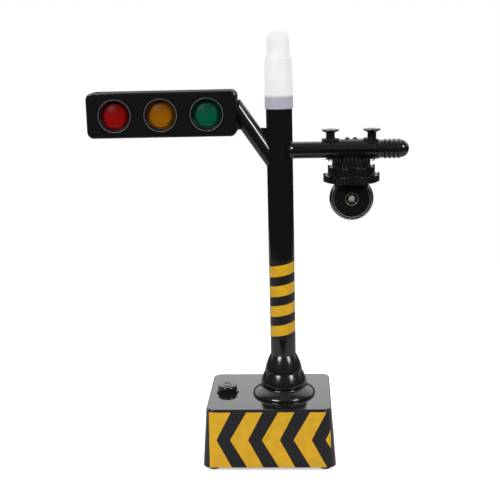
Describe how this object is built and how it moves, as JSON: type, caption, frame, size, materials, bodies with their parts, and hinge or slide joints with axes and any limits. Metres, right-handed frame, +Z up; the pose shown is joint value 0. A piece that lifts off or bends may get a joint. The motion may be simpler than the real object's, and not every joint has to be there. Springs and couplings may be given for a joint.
{
  "type": "toy signal mast",
  "caption": "Free-standing toy traffic signal mast: striped battery base with push button, frosted top lamp, slanting arm with signal head, straight arm with swivelling ball camera.",
  "frame": {"origin": "on the surface that the rubber feet stand on, under the centre of the base", "axes": "+Z up along the mast, -Y to the front that the signal lenses face, +X towards the camera arm"},
  "size_m": [0.1453, 0.0545, 0.2],
  "materials": {
    "gloss_black": "glossy injection-moulded black plastic",
    "satin_black": "satin black plastic, finely textured",
    "black_rubber": "soft black rubber",
    "hazard_film": "printed vinyl label, yellow and black",
    "frosted_white": "frosted translucent white plastic",
    "red_tint": "translucent red plastic",
    "amber_tint": "translucent amber plastic",
    "green_tint": "translucent green plastic",
    "clear_resin": "clear epoxy lamp body",
    "zinc_steel": "zinc-plated steel",
    "board_green": "green circuit board",
    "black_parts": "black resin and moulded component bodies",
    "paper_cone": "pressed black paper",
    "cell_wrap": "plain wrapped dry cell",
    "wire_red": "soft insulated wire",
    "wire_black": "soft insulated wire, black"
  },
  "bodies": {
    "stand": {"base_housing": "gloss_black", "mast_foot": "gloss_black", "mast_front_shell": "gloss_black", "mast_rear_shell": "gloss_black", "signal_front_shell": "gloss_black", "signal_rear_shell": "gloss_black", "arm_end_cap": "gloss_black", "base_plate": "satin_black", "mast_nut": "satin_black", "lamp_holder": "satin_black", "saddle_strap": "satin_black", "clamp_studs": "satin_black", "camera_yoke": "satin_black", "collar_middle": "satin_black", "rubber_feet": "black_rubber", "hazard_sticker": "hazard_film", "mast_stripes": "hazard_film", "lamp_diffuser": "frosted_white", "red_lens": "red_tint", "amber_lens": "amber_tint", "green_lens": "green_tint", "lamp_led": "clear_resin", "signal_leds": "clear_resin", "base_screws": "zinc_steel", "board_screws": "zinc_steel", "mast_screws": "zinc_steel", "signal_screws": "zinc_steel", "button_spring": "zinc_steel", "battery_springs": "zinc_steel", "battery_contacts": "zinc_steel", "speaker_frame": "zinc_steel", "speaker_magnet": "zinc_steel", "circuit_board": "board_green", "signal_board": "board_green", "sound_chip": "black_parts", "push_switch": "black_parts", "speaker_cone": "paper_cone", "batteries": "cell_wrap", "lamp_wires": "wire_red", "signal_wires": "wire_red", "camera_wires": "wire_black"},
    "button": {"push_button": "gloss_black", "switch_stem": "satin_black"},
    "door": {"battery_door": "satin_black", "battery_door_screw": "zinc_steel"},
    "camera": {"collar_lower": "satin_black", "pivot_clip": "zinc_steel", "camera_front_shell": "satin_black", "camera_rear_shell": "satin_black", "camera_face": "satin_black", "camera_led": "clear_resin", "camera_lead": "wire_black"}
  },
  "joints": [
    {"name": "button_press", "type": "slide", "parent": "stand", "child": "button", "axis": [0, 0, -1], "range_m": [0, 0.0012], "stiffness_N_per_m": 300, "springref_m": -0.001, "deforming": ["button_spring"]},
    {"name": "door_release", "type": "slide", "parent": "stand", "child": "door", "axis": [0, 0, -1], "range_m": [0, 0.02]},
    {"name": "camera_pan", "type": "hinge", "parent": "stand", "child": "camera", "pos_m": [0.0393, -0.002, 0.1331], "axis": [0, 0, 1], "range_deg": [-170, 170]}
  ]
}
